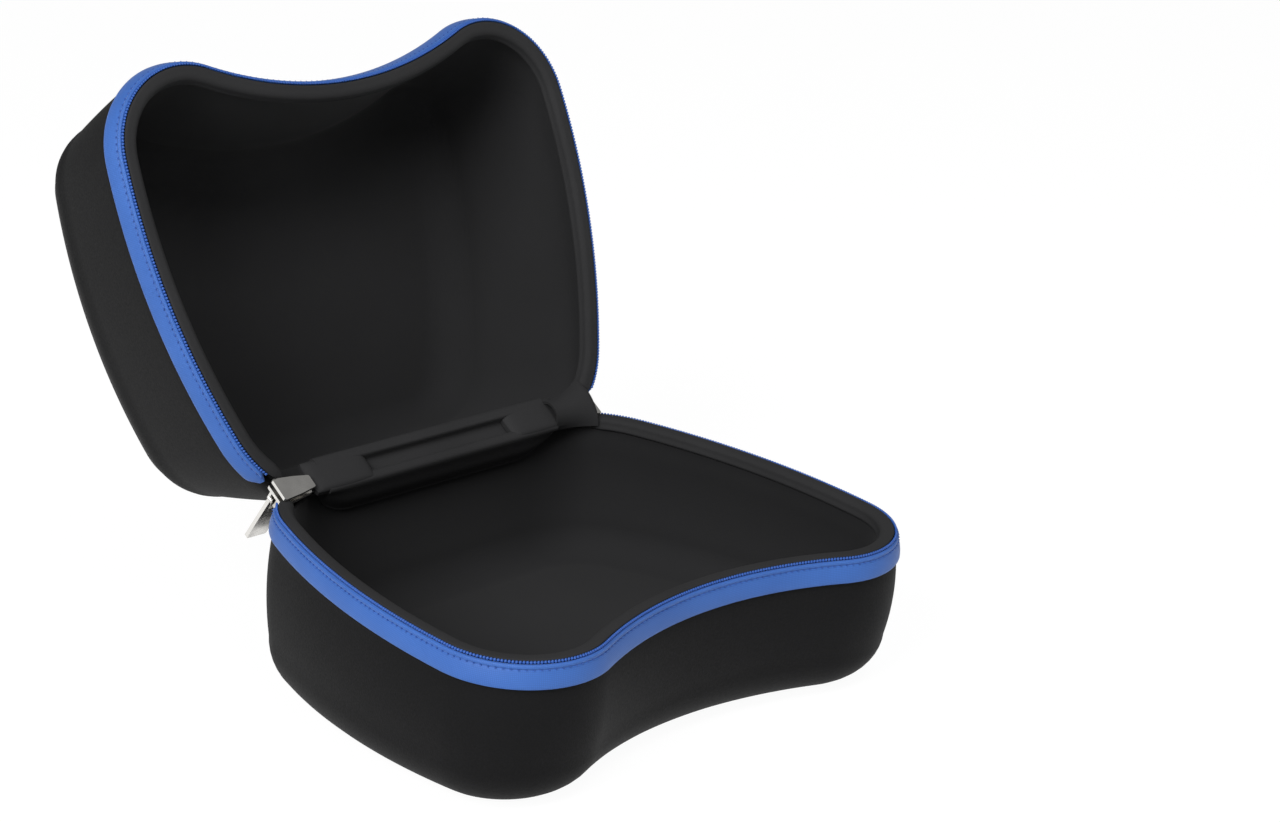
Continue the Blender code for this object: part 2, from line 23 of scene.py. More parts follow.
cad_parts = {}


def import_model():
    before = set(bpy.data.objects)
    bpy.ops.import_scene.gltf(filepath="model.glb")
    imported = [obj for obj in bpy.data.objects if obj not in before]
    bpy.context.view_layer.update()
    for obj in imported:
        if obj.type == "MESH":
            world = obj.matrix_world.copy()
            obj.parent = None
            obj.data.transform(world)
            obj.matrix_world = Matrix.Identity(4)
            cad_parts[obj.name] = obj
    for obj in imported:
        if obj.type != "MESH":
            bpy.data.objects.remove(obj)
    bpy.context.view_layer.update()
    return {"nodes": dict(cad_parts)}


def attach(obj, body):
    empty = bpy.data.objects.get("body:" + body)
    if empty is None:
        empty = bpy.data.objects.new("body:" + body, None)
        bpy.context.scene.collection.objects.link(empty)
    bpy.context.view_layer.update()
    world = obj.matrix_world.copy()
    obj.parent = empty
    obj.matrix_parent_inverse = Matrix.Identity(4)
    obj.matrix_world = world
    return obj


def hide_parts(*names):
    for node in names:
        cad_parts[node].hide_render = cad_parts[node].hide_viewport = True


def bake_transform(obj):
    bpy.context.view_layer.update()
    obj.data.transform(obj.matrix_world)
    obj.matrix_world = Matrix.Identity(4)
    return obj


MM = 0.001
WHITE = (1.0, 1.0, 1.0, 1.0)
LOG = logging.getLogger("controller_case")
MIDDLE_OF_NOISE = {"From Min": 0.3, "From Max": 0.7}
ARC_STEPS = (10, 12, 10, 5, 5)
ZIP_STEPS = sum(ARC_STEPS[:4])
ROUND_END = (0.3, 0.75, 0.93)
COIL_TEETH_MM = {"Spacing": 1.05, "Length": 0.85, "Width": 1.0, "Height": 1.1}
STITCHES_MM = {"Spacing": 2.2, "Length": 1.35, "Width": 0.62, "Height": 0.5}
REPEAT_SLANT = 0.35
LID_FOLD = ((6.9, -0.2), (6.2, 1.5), (3.6, 1.7), (2.4, 1.4), (2.1, -1.9))
BASE_FOLD = ((-2.6, -1.9), (-3.0, 0.6), (-5.2, 0.9), (-6.8, 0.2))
Section = list[tuple[float, float]]
Point = tuple[float, float, float]
Material = bpy.types.Material
Node = bpy.types.Node
Object = bpy.types.Object
Socket = bpy.types.NodeSocket
Tree = bpy.types.NodeTree


class Body(str, Enum):
    """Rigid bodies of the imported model."""

    BASE = "base"
    LID = "lid"


class Side(int, Enum):
    """Left and right end of the hinge, seen from the front."""

    LEFT = -1
    RIGHT = 1

    @property
    def word(self) -> str:
        """The side's name as the nodes spell it."""
        return "left" if self is Side.LEFT else "right"


def linear(hex_colour: str) -> tuple[float, float, float, float]:
    """Turns an sRGB hex colour to the linear values that shaders take.

    Args:
        hex_colour: Colour such as "#2B2B2C".

    Returns:
        Red, green, blue and an alpha of 1.
    """
    values = []
    for start in (1, 3, 5):
        channel = int(hex_colour[start : start + 2], 16) / 255
        values.append(channel / 12.92 if channel <= 0.04045 else ((channel + 0.055) / 1.055) ** 2.4)
    return (values[0], values[1], values[2], 1.0)


def add_node(tree: Tree, kind: str, settings: dict | None = None, links: dict | None = None) -> Node:
    """Adds a node with its settings and its incoming links.

    Args:
        tree: Shader or geometry tree.
        kind: Blender's name of the node type.
        settings: Attributes of the node, or names of its input sockets, with their values.
        links: Names of input sockets with the output sockets that feed them.

    Returns:
        The new node.
    """
    node = tree.nodes.new(kind)
    for name, value in (settings or {}).items():
        if isinstance(name, str) and hasattr(node, name):
            setattr(node, name, value)
        else:
            node.inputs[name].default_value = value
    for name, source in (links or {}).items():
        tree.links.new(source, node.inputs[name])
    return node


def cleared_tree(owner: Material | bpy.types.World) -> Tree:
    """Gives a material or a world an empty node tree.

    Args:
        owner: The material or world.

    Returns:
        Its tree.
    """
    owner.use_nodes = True
    owner.node_tree.nodes.clear()
    return owner.node_tree


def add_object(name: str, data: bpy.types.ID) -> Object:
    """Puts a new object into the scene.

    Args:
        name: Name of the object.
        data: Its mesh, lamp or camera.

    Returns:
        The object.
    """
    obj = bpy.data.objects.new(name, data)
    bpy.context.scene.collection.objects.link(obj)
    return obj


@dataclass(frozen=True)
class Finish:
    """Shared values of a surface finish, and the nodes that finishes have in common."""

    name: str
    colour: str
    roughness: float

    def begin(self) -> tuple[Material, Tree, Node]:
        """Makes an empty material with its Principled shader.

        Returns:
            The material, its tree and the shader node.
        """
        material = bpy.data.materials.new(self.name)
        tree = cleared_tree(material)
        settings = {"Roughness": self.roughness, "Base Color": linear(self.colour)}
        shader = add_node(tree, "ShaderNodeBsdfPrincipled", settings)
        add_node(tree, "ShaderNodeOutputMaterial", {}, {"Surface": shader.outputs["BSDF"]})
        material.diffuse_color = linear(self.colour)
        return material, tree, shader

    def noise(self, tree: Tree, size_mm: float, detail: float, roughness: float = 0.5) -> Socket:
        """Adds a noise on Object coordinates.

        Args:
            tree: The material's tree.
            size_mm: Size of the noise's patches.
            detail: Number of finer layers.
            roughness: Strength of the finer layers.

        Returns:
            Its value, from 0 to 1.
        """
        place = add_node(tree, "ShaderNodeTexCoord")
        settings = {"Scale": 1 / (size_mm * MM), "Detail": detail, "Roughness": roughness}
        cloud = add_node(tree, "ShaderNodeTexNoise", settings, {"Vector": place.outputs["Object"]})
        return cloud.outputs["Fac"]

    def blend(self, tree: Tree, first: str, second: str, share: Socket) -> Socket:
        """Mixes two colours, given in hex, and returns the mixed one."""
        settings = {"data_type": "RGBA", 6: linear(first), 7: linear(second)}
        return add_node(tree, "ShaderNodeMix", settings, {0: share}).outputs[2]

    def emboss(self, tree: Tree, shader: Node, height: Socket, depth_mm: float, strength: float) -> None:
        """Gives the surface a fine relief."""
        settings = {"Strength": strength, "Distance": depth_mm * MM}
        bump = add_node(tree, "ShaderNodeBump", settings, {"Height": height})
        tree.links.new(bump.outputs["Normal"], shader.inputs["Normal"])

    def vary_gloss(
        self, tree: Tree, shader: Node, share: Socket, less: float, more: float, source: dict | None = None
    ) -> None:
        """Lets the roughness wander between less and more than its set value."""
        settings = (source or {}) | {"To Min": self.roughness - less, "To Max": self.roughness + more}
        gloss = add_node(tree, "ShaderNodeMapRange", settings, {"Value": share})
        tree.links.new(gloss.outputs["Result"], shader.inputs["Roughness"])

    def soften(self, shader: Node, sheen: float, spread: float, gloss: float) -> None:
        """Sets the soft fibre sheen, how wide it spreads, and the weak gloss of cloth."""
        shader.inputs["Sheen Weight"].default_value = sheen
        shader.inputs["Sheen Roughness"].default_value = spread
        shader.inputs["Specular IOR Level"].default_value = gloss


@dataclass(frozen=True)
class MouldedCloth(Finish):
    """Fine polyester cloth heat-moulded over foam: matt, with a faint even grain and slow shade changes."""

    shade: str = "#303031"
    cloud_mm: float = 45.0
    grain_mm: float = 0.7
    weave_mm: float = 0.49
    grain_depth_mm: float = 0.05

    def build(self) -> Material:
        """Makes the material."""
        material, tree, shader = self.begin()
        cloud = self.noise(tree, self.cloud_mm, 2.0)
        soft = add_node(tree, "ShaderNodeMapRange", MIDDLE_OF_NOISE, {"Value": cloud})
        tree.links.new(
            self.blend(tree, self.colour, self.shade, soft.outputs["Result"]), shader.inputs["Base Color"]
        )
        grain = self.noise(tree, self.grain_mm, 3.0, 0.6)
        place = add_node(tree, "ShaderNodeTexCoord")
        cells = {"Scale": 1 / (self.weave_mm * MM)}
        weave = add_node(tree, "ShaderNodeTexVoronoi", cells, {"Vector": place.outputs["Object"]})
        sources = {0: grain, 1: weave.outputs["Distance"]}
        both = add_node(tree, "ShaderNodeMath", {"operation": "ADD"}, sources)
        self.emboss(tree, shader, both.outputs[0], self.grain_depth_mm, strength=0.5)
        self.vary_gloss(tree, shader, grain, less=0.06, more=0.06, source=MIDDLE_OF_NOISE)
        self.soften(shader, sheen=0.01, spread=0.4, gloss=0.15)
        return material


@dataclass(frozen=True)
class BrushedLining(Finish):
    """Brushed knit lining: very matt, with a short soft pile that lightens at grazing angles."""

    shade: str = "#262627"
    cloud_mm: float = 30.0
    pile_mm: float = 0.5
    pile_depth_mm: float = 0.08

    def build(self) -> Material:
        """Makes the material."""
        material, tree, shader = self.begin()
        cloud = self.noise(tree, self.cloud_mm, 3.0)
        tree.links.new(self.blend(tree, self.colour, self.shade, cloud), shader.inputs["Base Color"])
        pile = self.noise(tree, self.pile_mm, 4.0, 0.7)
        self.emboss(tree, shader, pile, self.pile_depth_mm, strength=0.6)
        self.soften(shader, sheen=0.06, spread=0.5, gloss=0.12)
        return material


@dataclass(frozen=True)
class WovenTape(Finish):
    """Woven polyester zip tape: fine ribs across the band and a soft satin sheen on the threads."""

    shade: str = "#3A66B4"
    cloud_mm: float = 20.0
    thread_mm: float = 0.55
    thread_depth_mm: float = 0.06

    def build(self) -> Material:
        """Makes the material, with its ribs laid out in the band's own UV map."""
        material, tree, shader = self.begin()
        where = {"Vector": add_node(tree, "ShaderNodeUVMap", {"uv_map": "Cloth"}).outputs["UV"]}
        ribs = {"Scale": math.pi / (self.thread_mm * MM) / 10, "Distortion": 0.4}
        along = add_node(tree, "ShaderNodeTexWave", {"bands_direction": "X", **ribs}, where)
        across = add_node(tree, "ShaderNodeTexWave", {"bands_direction": "Y", **ribs}, where)
        sources = {0: along.outputs["Fac"], 1: across.outputs["Fac"]}
        weave = add_node(tree, "ShaderNodeMath", {"operation": "MULTIPLY"}, sources).outputs[0]
        colour = self.blend(tree, self.shade, self.colour, self.noise(tree, self.cloud_mm, 2.0))
        shaded = {"data_type": "RGBA", "blend_type": "MULTIPLY", 0: 0.25}
        threads = add_node(tree, "ShaderNodeMix", shaded, {6: colour, 7: weave})
        tree.links.new(threads.outputs[2], shader.inputs["Base Color"])
        self.emboss(tree, shader, weave, self.thread_depth_mm, strength=0.5)
        self.soften(shader, sheen=0.2, spread=0.4, gloss=0.5)
        return material


@dataclass(frozen=True)
class Nylon(Finish):
    """Drawn nylon filament, dyed through: smooth with a soft gloss."""

    fine_mm: float = 0.6

    def build(self) -> Material:
        """Makes the material."""
        material, tree, shader = self.begin()
        self.vary_gloss(tree, shader, self.noise(tree, self.fine_mm, 1.0), less=0.08, more=0.08)
        shader.inputs["IOR"].default_value = 1.53
        return material


@dataclass(frozen=True)
class NickelPlate(Finish):
    """Nickel-plated die-cast zinc, barrel polished: bright and slightly warm, with an uneven rubbed gloss."""

    rub_mm: float = 4.0

    def build(self) -> Material:
        """Makes the material."""
        material, tree, shader = self.begin()
        shader.inputs["Metallic"].default_value = 1.0
        rub = self.noise(tree, self.rub_mm, 1.0)
        self.vary_gloss(tree, shader, rub, less=0.04, more=0.08, source=MIDDLE_OF_NOISE)
        return material


class Finishes:
    """All finishes of the case, made once."""

    def __init__(self) -> None:
        """Builds every material."""
        self.shell = MouldedCloth("moulded_polyester_over_foam", "#0E0E0F", 0.7, "#111112").build()
        self.lining = BrushedLining("brushed_knit_lining", "#272728", 0.92, "#2B2B2C").build()
        self.piping = MouldedCloth("padded_polyester_piping", "#2C2C2D", 0.76, "#303031").build()
        self.tape = WovenTape("woven_polyester_tape", "#3F75CC", 0.62, "#3568BC").build()
        self.coil = Nylon("nylon_zip_coil", "#2A5AAE", 0.42).build()
        # Real blue stitch thread, coloured darker than the band so that the row also paints the shade in the
        # stitch holes.
        self.thread = Nylon("stitch_thread_with_painted_hole_shade", "#244F9E", 0.5).build()
        self.nickel = NickelPlate("nickel_plated_zinc", "#E6E4E0", 0.2).build()


@dataclass(frozen=True)
class RimPlan:
    """Plan outline of the rim, made of tangent arcs, and the place of the hinge."""

    width: float = 185.0
    depth: float = 143.0
    rear_flat: float = 45.0
    rear_corner: float = 35.7
    grip_lobe: float = 28.5
    front_hollow: float = 132.7
    side_arc: float = 232.4
    zip_end_deg: float = 42.5
    tilt_deg: float = 5.9
    base_height: float = 57.9
    open_deg: float = 118.5
    hinge_inset: float = 6.5
    hinge_raise: float = 2.2

    @property
    def back(self) -> float:
        """Y of the straight back."""
        return self.depth / 2

    @property
    def hinge_y(self) -> float:
        """Y of the hinge axis."""
        return self.back - self.hinge_inset

    @property
    def half_open(self) -> float:
        """Half of the opening angle, in radians."""
        return math.radians(self.open_deg) / 2

    def rim_place(self) -> Matrix:
        """Matrix from the rim frame, in metres, to the frame of the case."""
        tilt = math.radians(self.tilt_deg)
        lift = Vector((0.0, -self.base_height * math.sin(tilt), self.base_height * math.cos(tilt))) * MM
        return Matrix.Translation(lift) @ Matrix.Rotation(tilt, 4, "X")

    def turned(self, share: float) -> Matrix:
        """Matrix that also opens a piece about the hinge.

        Args:
            share: 1 for the lid, 0.5 for what lies half way, 0 for the base.

        Returns:
            Matrix from the closed rim frame, in metres, to the frame of the case.
        """
        axis = Vector((0.0, self.hinge_y, self.hinge_raise)) * MM
        turn = Matrix.Rotation(-math.radians(self.open_deg) * share, 4, "X")
        return self.rim_place() @ Matrix.Translation(axis) @ turn @ Matrix.Translation(-axis)

    def _arc(self, centre: np.ndarray, radius: float, start: float, end: float, count: int) -> np.ndarray:
        """Points along an arc without the last one."""
        angle = start + (end - start) * np.arange(count) / count
        return centre + radius * np.column_stack([np.cos(angle), np.sin(angle)])

    def half(self, inset: float, fine: int) -> np.ndarray:
        """Right half of the outline, from the front middle to the back middle.

        Args:
            inset: Distance inwards from the rim.
            fine: Multiple of the coarse number of points.

        Returns:
            Array of x and y.
        """
        lobe = np.array([self.width / 2 - self.grip_lobe, self.grip_lobe - self.back])
        corner = np.array([self.rear_flat, self.back - self.rear_corner])
        reach = self.front_hollow + self.grip_lobe
        hollow = np.array([0.0, lobe[1] - math.sqrt(reach**2 - lobe[0] ** 2)])
        to_corner = self.side_arc - self.rear_corner
        to_lobe = self.side_arc - self.grip_lobe
        span = lobe - corner
        length = float(np.hypot(*span))
        along = (to_corner**2 - to_lobe**2 + length**2) / (2 * length)
        across = math.sqrt(to_corner**2 - along**2)
        unit = span / length
        inward = np.array([unit[1], -unit[0]])
        side = corner + unit * along + inward * across

        def heading(v: np.ndarray) -> float:
            """Angle of a vector."""
            return math.atan2(v[1], v[0])

        zip_end = math.radians(self.zip_end_deg)
        quarter = math.pi / 2
        arcs = (
            (hollow, self.front_hollow + inset, quarter, heading(lobe - hollow)),
            (lobe, self.grip_lobe - inset, heading(hollow - lobe), heading(lobe - side)),
            (side, self.side_arc - inset, heading(lobe - side), heading(corner - side)),
            (corner, self.rear_corner - inset, heading(corner - side), zip_end),
            (corner, self.rear_corner - inset, zip_end, quarter),
        )
        parts = [self._arc(*arc, steps * fine) for arc, steps in zip(arcs, ARC_STEPS)]
        flat = np.linspace(1.0, 0.0, ARC_STEPS[-1] * fine + 1)
        parts.append(np.column_stack([self.rear_flat * flat, np.full(len(flat), self.back - inset)]))
        return np.vstack(parts)

    def loop(self, inset: float, fine: int) -> np.ndarray:
        """The whole closed outline."""
        half = self.half(inset, fine)
        return np.vstack([half, half[1:-1][::-1] * [-1.0, 1.0]])

    def zip_path(self, inset: float, fine: int, further: int = 0) -> np.ndarray:
        """The open outline from the left zip end, round the front, to the right zip end.

        Args:
            inset: Distance inwards from the rim.
            fine: Multiple of the coarse number of points.
            further: Points by which both ends run on past the zip.

        Returns:
            Array of x and y.
        """
        half = self.half(inset, fine)[: ZIP_STEPS * fine + 1 + further]
        return np.vstack([half[1:][::-1] * [-1.0, 1.0], half])


def rounded(points: Section, times: int = 2) -> Section:
    """Cuts the corners of a closed outline until it reads as a curve.

    Args:
        points: Corners of the outline.
        times: How often the corners are cut.

    Returns:
        The rounded outline.
    """
    for _ in range(times):
        cut = []
        for (ax, ay), (bx, by) in zip(points, points[1:] + points[:1]):
            cut.append((ax * 0.75 + bx * 0.25, ay * 0.75 + by * 0.25))
            cut.append((ax * 0.25 + bx * 0.75, ay * 0.25 + by * 0.75))
        points = cut
    return points


def mesh_object(
    name: str, mesh: bmesh.types.BMesh, place: Matrix, material: Material, sharp_deg: float = 35
) -> Object:
    """Finishes a mesh and puts its place into its vertices.

    Args:
        name: Name of the object.
        mesh: Mesh in metres, freed here.
        place: Matrix to the frame of the case.
        material: Its material.
        sharp_deg: Edges sharper than this stay crisp.

    Returns:
        The linked object, at the origin.
    """
    bmesh.ops.transform(mesh, matrix=place, verts=mesh.verts)
    bmesh.ops.recalc_face_normals(mesh, faces=mesh.faces)
    data = bpy.data.meshes.new(name)
    mesh.to_mesh(data)
    mesh.free()
    data.materials.append(material)
    data.shade_smooth()
    data.set_sharp_from_angle(angle=math.radians(sharp_deg))
    return add_object(name, data)


def loft(
    name: str, rings: Sequence[np.ndarray], place: Matrix, material: Material, sharp_deg: float = 35
) -> Object:
    """Closed body through rings of equally many points, in millimetres.

    The first and the last ring are filled. A UV map named Cloth holds the length along the rings' row
    and round each ring, in metres.

    Args:
        name: Name of the object.
        rings: Rings of x, y and z.
        place: Matrix to the frame of the case.
        material: Its material.
        sharp_deg: Edges sharper than this stay crisp.

    Returns:
        The new object.
    """
    mesh = bmesh.new()
    layer = mesh.loops.layers.uv.new("Cloth")
    rows = [[mesh.verts.new(p) for p in ring * MM] for ring in rings]
    count = len(rows[0])
    middle = len(rings) // 2
    steps = np.linalg.norm(np.diff(rings[middle], axis=0, append=rings[middle][:1]), axis=1)
    around = np.concatenate([[0.0], np.cumsum(steps)]) * MM
    travel = [0.0]
    for before, after in zip(rings, rings[1:]):
        travel.append(travel[-1] + float(np.linalg.norm(after - before, axis=1).mean()) * MM)
    for k in range(len(rows) - 1):
        low, high = rows[k], rows[k + 1]
        for i in range(count):
            j = (i + 1) % count
            face = mesh.faces.new((low[i], low[j], high[j], high[i]))
            for loop, (step, turn) in zip(face.loops, ((0, 0), (0, 1), (1, 1), (1, 0))):
                loop[layer].uv = (travel[k + step], around[i + turn])
    mesh.faces.new(rows[0])
    mesh.faces.new(rows[-1])
    return mesh_object(name, mesh, place, material, sharp_deg)


class PathRepeat:
    """Geometry Nodes tree that sets small rounded shapes along a path."""

    def __init__(self, name: str, material: Material) -> None:
        """Builds the tree.

        Args:
            name: Name of the tree.
            material: Material of the repeated shape.
        """
        tree = bpy.data.node_groups.new(name, "GeometryNodeTree")
        self.tree = tree
        tree.interface.new_socket("Geometry", in_out="INPUT", socket_type="NodeSocketGeometry")
        for label in ("Spacing", "Length", "Width", "Height", "Slant"):
            tree.interface.new_socket(label, in_out="INPUT", socket_type="NodeSocketFloat")
        tree.interface.new_socket("Geometry", in_out="OUTPUT", socket_type="NodeSocketGeometry")
        given = add_node(tree, "NodeGroupInput")
        curve = add_node(tree, "GeometryNodeMeshToCurve", {}, {"Mesh": given.outputs["Geometry"]})
        line = {"Curve": curve.outputs["Curve"]}
        normal = add_node(tree, "GeometryNodeSetCurveNormal", {"mode": "Z_UP"}, line)
        spaced = {"Curve": normal.outputs["Curve"], "Length": given.outputs["Spacing"]}
        even = add_node(tree, "GeometryNodeCurveToPoints", {"mode": "LENGTH"}, spaced)
        ball = add_node(tree, "GeometryNodeMeshUVSphere", {"Segments": 8, "Rings": 5, "Radius": 0.5})
        sides = {"X": given.outputs["Length"], "Y": given.outputs["Height"], "Z": given.outputs["Width"]}
        size = add_node(tree, "ShaderNodeCombineXYZ", {}, sides)
        scaled = {"Geometry": ball.outputs["Mesh"], "Scale": size.outputs["Vector"]}
        shaped = add_node(tree, "GeometryNodeTransform", {}, scaled)
        lean = add_node(tree, "ShaderNodeCombineXYZ", {}, {"Y": given.outputs["Slant"]})
        turned = {"Geometry": shaped.outputs["Geometry"], "Rotation": lean.outputs["Vector"]}
        leaning = add_node(tree, "GeometryNodeTransform", {}, turned)
        row = {"Points": even.outputs["Points"], "Rotation": even.outputs["Rotation"]}
        row["Instance"] = leaning.outputs["Geometry"]
        placed = add_node(tree, "GeometryNodeInstanceOnPoints", {}, row)
        real = add_node(tree, "GeometryNodeRealizeInstances", {}, {"Geometry": placed.outputs["Instances"]})
        smooth = add_node(tree, "GeometryNodeSetShadeSmooth", {}, {"Geometry": real.outputs["Geometry"]})
        cloth = {"Material": material}
        dressed = add_node(tree, "GeometryNodeSetMaterial", cloth, {"Geometry": smooth.outputs["Geometry"]})
        add_node(tree, "NodeGroupOutput", {}, {"Geometry": dressed.outputs["Geometry"]})

    def along(
        self, name: str, path: np.ndarray, place: Matrix, sizes: dict[str, float], slant: float
    ) -> Object:
        """Sets the shapes along a path and turns the result into a plain mesh.

        Args:
            name: Name of the new object.
            path: Points in millimetres, in the rim frame.
            place: Matrix to the frame of the case.
            sizes: Values of the tree's inputs, in millimetres.
            slant: Lean of each shape, in radians.

        Returns:
            The new object, at the origin.
        """
        guide = bpy.data.meshes.new(name + "_guide")
        edges = [(i, i + 1) for i in range(len(path) - 1)]
        guide.from_pydata([tuple(p) for p in path * MM], edges, [])
        source = add_object(name + "_guide", guide)
        modifier = source.modifiers.new("repeat", "NODES")
        modifier.node_group = self.tree
        values = {label: size * MM for label, size in sizes.items()} | {"Slant": slant}
        for item in self.tree.interface.items_tree:
            if item.in_out == "INPUT" and item.name in values:
                modifier[item.identifier] = values[item.name]
        bpy.context.view_layer.update()
        data = bpy.data.meshes.new_from_object(source.evaluated_get(bpy.context.evaluated_depsgraph_get()))
        data.name = name
        data.transform(place)
        bpy.data.objects.remove(source, do_unlink=True)
        bpy.data.meshes.remove(guide)
        LOG.info("%s: %d faces", name, len(data.polygons))
        return add_object(name, data)


@dataclass
class CaseHalf:
    """One moulded half with its lining and rim trim; side is -1 for the base and 1 for the lid.

    Depths run from the rim into the half and insets from the rim inwards. The coil, the stitches and
    the lip lie at the depths and widths that bear their names.
    """

    plan: RimPlan
    body: Body
    side: int
    height: float
    rise: float
    belly: float
    draft: float
    edge_r: float
    wall: float
    floor: float
    lining: float
    fine: int = 3
    skin: float = -1.0
    edge_depth: float = 4.8
    edge_inset: float = 0.3
    tape_width: float = 8.5
    tape_flare: float = 2.2
    tape_thickness: float = 0.9
    gap: float = 0.3
    coil_thickness: float = 1.3
    coil_inset: float = -0.1
    coil_depth: float = 0.68
    stitch_depth: float = 2.65
    lip_setback: float = 0.7
    lip_width: float = 3.1
    lip_depth: float = 4.5
    mitre_gap: float = 1.0
    relief: Callable[[np.ndarray, np.ndarray], np.ndarray] | None = None

    @property
    def place(self) -> Matrix:
        """Matrix from the rim frame to the case at rest."""
        return self.plan.turned(1.0 if self.body is Body.LID else 0.0)

    def mitre(self, y: np.ndarray) -> np.ndarray:
        """How much lower the edge lies near the hinge, so that the open halves meet at a mitre."""
        slope = math.tan(self.plan.half_open) * (y - self.plan.hinge_y)
        return np.maximum(0.0, slope + self.side * self.plan.hinge_raise + self.mitre_gap - self.edge_depth)

    def edge_ring(self, inset: float, depth: float) -> np.ndarray:
        """Ring near the edge, lowered at the hinge."""
        plan = self.plan.loop(inset, self.fine)
        return np.column_stack([plan, self.side * (depth + self.mitre(plan[:, 1]))])

    def wall_ring(self, inset: float, depth: float) -> np.ndarray:
        """Ring on the wall, at a depth that grows towards the back."""
        plan = self.plan.loop(inset, self.fine)
        return np.column_stack([plan, self.side * depth * (1 + self.rise * plan[:, 1] / self.height)])

    def surface(
        self, offset: float, floor: float, fillet_steps: int = 12, wall_steps: int = 10
    ) -> list[np.ndarray]:
        """Rings of one face of the wall, from the flat bottom up to the edge.

        Args:
            offset: Distance inwards from the outer face.
            floor: Thickness of the bottom at this face.
            fillet_steps: Rings on the rounded edge.
            wall_steps: Rings on the wall.

        Returns:
            The rings.
        """
        bottom = self.height - floor
        radius = self.edge_r - offset
        rings = []
        for k in range(fillet_steps + 1):
            angle = math.pi / 2 * (1 - k / fillet_steps)
            inset = self.skin + self.draft + offset + radius * (1 - math.cos(angle))
            rings.append(self.wall_ring(inset, bottom - radius + radius * math.sin(angle)))
        top = self.tape_width + 1.0
        for k in range(1, wall_steps + 1):
            t = k / wall_steps
            share = 1 - t
            inset = self.skin + self.draft * share - self.belly * 4 * t * share + offset
            depth = (bottom - radius) * share + top * t
            ring = self.wall_ring(inset, depth)
            edge = self.edge_ring(inset, depth)
            ring[:, 2] = self.side * np.maximum(self.side * ring[:, 2], self.side * edge[:, 2] * t**2)
            rings.append(ring)
        return rings

    def roof(self, first: np.ndarray, steps: int) -> list[np.ndarray]:
        """Rings that close the flat bottom or roof towards its middle, from the middle outwards."""
        middle = first.mean(axis=0)
        return [middle + (first - middle) * (k + 0.5) / (steps + 0.5) for k in range(steps)]

    def shell(self, name: str, material: Material, node: str) -> Object:
        """Moulded shell, with the relief on the lid's roof.

        Args:
            name: Name of the object.
            material: Its cloth.
            node: CAD node that it stands for.

        Returns:
            The new object.
        """
        outer = self.surface(0.0, 0.0)
        if self.relief:
            outer = self.roof(outer[0], 70) + outer
            for ring in outer:
                share = np.clip((abs(ring[:, 2]) - self.height * 0.45) / (self.height * 0.2), 0, 1)
                ring[:, 2] += self.side * share * self.relief(ring[:, 0], ring[:, 1])
        skin, edge = self.skin, self.edge_depth
        rim = (
            (skin, self.tape_width),
            (skin + 0.1, edge + 2.6),
            (skin + self.gap, edge + 1.6),
            (skin + self.gap + 0.4, edge + 0.5),
            (self.edge_inset, edge),
            (skin + self.wall, edge),
        )
        outer += [self.edge_ring(*spot) for spot in rim]
        outer += reversed(self.surface(self.wall, self.floor, 8, 6))
        obj = loft(name, outer, self.place, material)
        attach(obj, self.body.value)
        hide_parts(node)
        return obj

    def lining_skin(self, name: str, material: Material, node: str) -> Object:
        """Soft lining inside the shell."""
        outside = self.wall + self.gap
        inside = outside + self.lining
        rings = self.surface(outside, self.floor + self.gap, 8, 6)
        rings.append(self.edge_ring(self.skin + outside, self.edge_depth))
        rings.append(self.edge_ring(self.skin + inside, self.edge_depth))
        rings += reversed(self.surface(inside, self.floor + self.gap + self.lining, 14, 10))
        obj = loft(name, rings, self.place, material)
        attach(obj, self.body.value)
        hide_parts(node)
        return obj

    def zip_line(self, inset: float, depth: float, further: int = 0) -> np.ndarray:
        """Line along the zip, further points longer at both ends, in the rim frame."""
        plan = self.plan.zip_path(inset, self.fine, further)
        return np.column_stack([plan, np.full(len(plan), self.side * depth)])

    def strip(self, name: str, section: Section, material: Material, node: str, further: int = 1) -> Object:
        """Closed strip along the zip.

        Args:
            name: Name of the object.
            section: Closed section as pairs of inset and depth.
            material: Its material.
            node: CAD node that it stands for.
            further: Points by which both ends run on past the zip.

        Returns:
            The new object.
        """
        rings = list(np.stack([self.zip_line(*corner, further) for corner in section], axis=1))
        for k, share in enumerate(ROUND_END):
            for i in (k, -1 - k):
                middle = rings[i].mean(axis=0)
                rings[i] = middle + (rings[i] - middle) * share
        obj = loft(name, rings, self.place, material, sharp_deg=50)
        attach(obj, self.body.value)
        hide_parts(node)
        return obj

    def tape_face(self) -> Section:
        """Outer face of the zip band, from the rim down to its stitched edge."""
        crest = self.coil_thickness - self.gap
        face = [(0.2, 1.35), (-0.5, 1.2), (-crest + 0.05, 1.4), (-crest - 0.15, 1.9), (-crest - 0.1, 2.35)]
        face += [(-crest + 0.15, 2.65), (-crest - 0.15, 3.0)]
        for k in range(1, 9):
            t = k / 8
            swell = crest + 0.1 + (self.tape_flare - crest - 0.1) * (1 - (1 - t) ** 2)
            face.append((-swell, 3.0 + (self.tape_width - 3.3) * t))
        face.append((-self.tape_flare + 0.12, self.tape_width))
        return face

    def tape_profile(self) -> Section:
        """Section of the zip band, folded over the coil at the rim."""
        outer = self.tape_face()
        inner = [(-self.tape_flare + self.tape_thickness, self.tape_width), (-self.tape_flare + 1.1, 5.5)]
        inner += [(-0.35, 3.2), (0.1, 2.6), (0.35, 1.6)]
        return outer + inner

    def stitch_path(self) -> np.ndarray:
        """Line of stitches on the outer face of the band."""
        face = self.tape_face()[2:]
        inset = float(np.interp(self.stitch_depth, [d for _, d in face], [i for i, _ in face]))
        return self.zip_line(inset - 0.08, self.stitch_depth)

